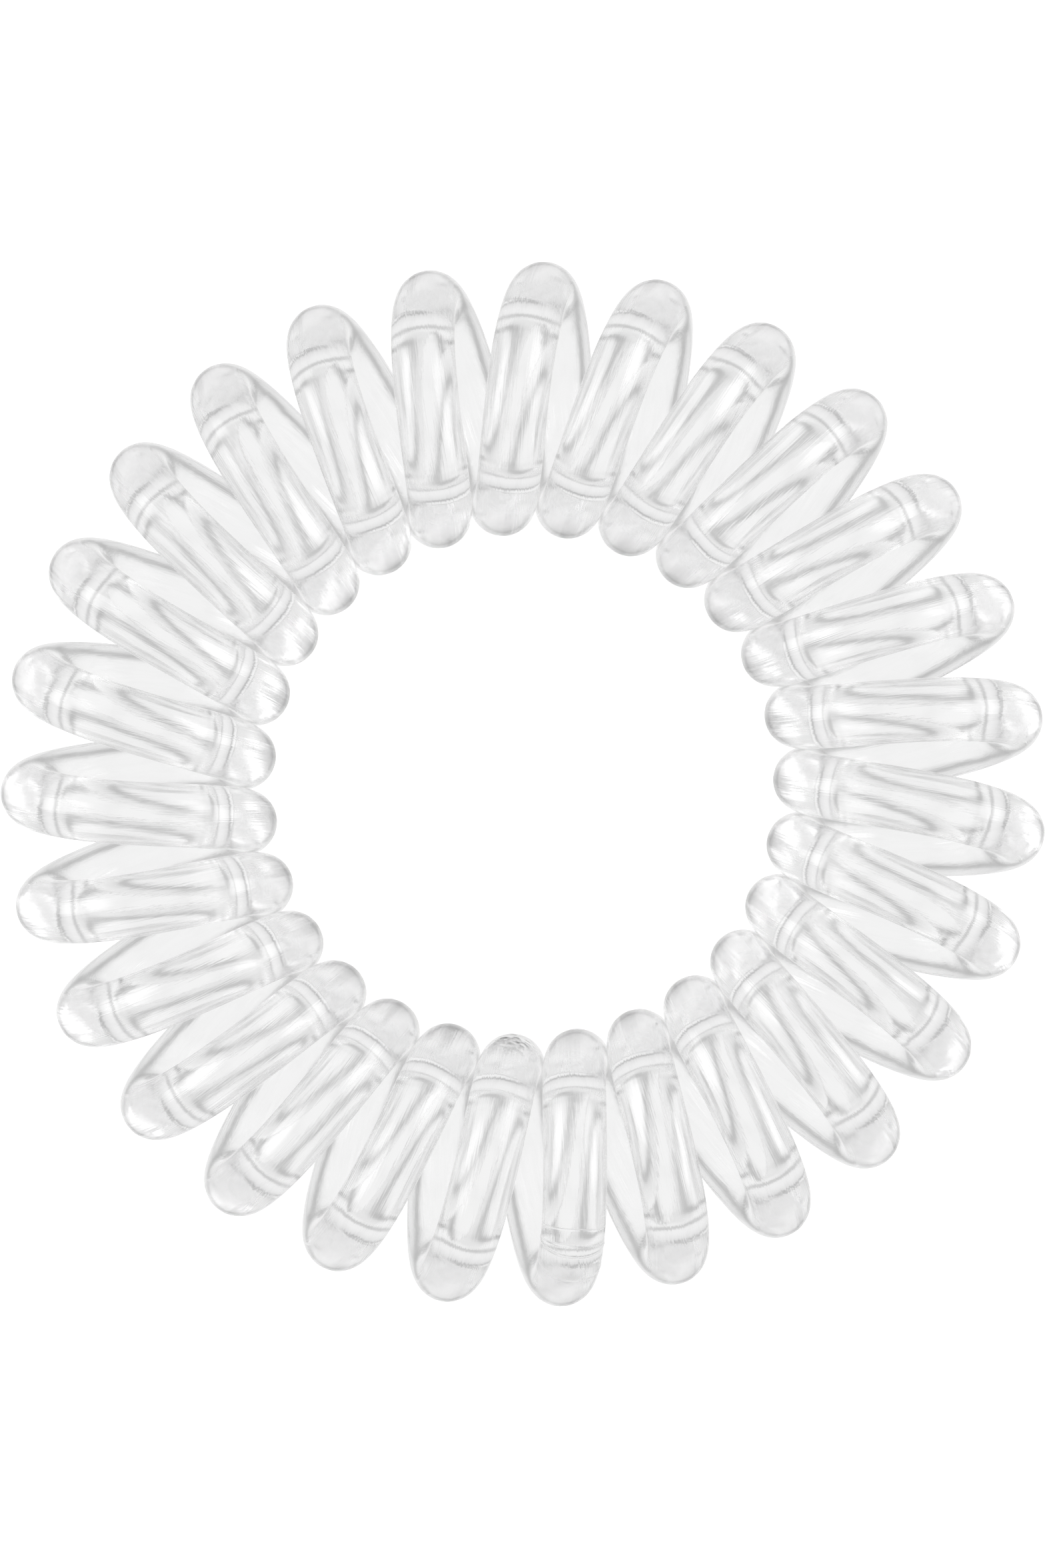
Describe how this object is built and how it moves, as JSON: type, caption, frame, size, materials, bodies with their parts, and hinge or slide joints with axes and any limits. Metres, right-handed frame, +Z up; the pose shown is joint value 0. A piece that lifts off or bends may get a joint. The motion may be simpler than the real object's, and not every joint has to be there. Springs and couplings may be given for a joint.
{
  "type": "spiral hair tie",
  "caption": "Clear plastic spiral hair tie: one cord wound as a close coil, bent into a ring and welded end to end, that stretches round a ponytail.",
  "frame": {"origin": "on the surface that the ring lies on, below the ring's centre", "axes": "+Z up along the ring's axis; +Y is the top of the picture and +X its right side"},
  "size_m": [0.0379, 0.0379, 0.008],
  "materials": {
    "clear_plastic": "clear, colourless, glossy thermoplastic polyurethane"
  },
  "bodies": {
    "root": {"coil": "clear_plastic"}
  },
  "joints": []
}
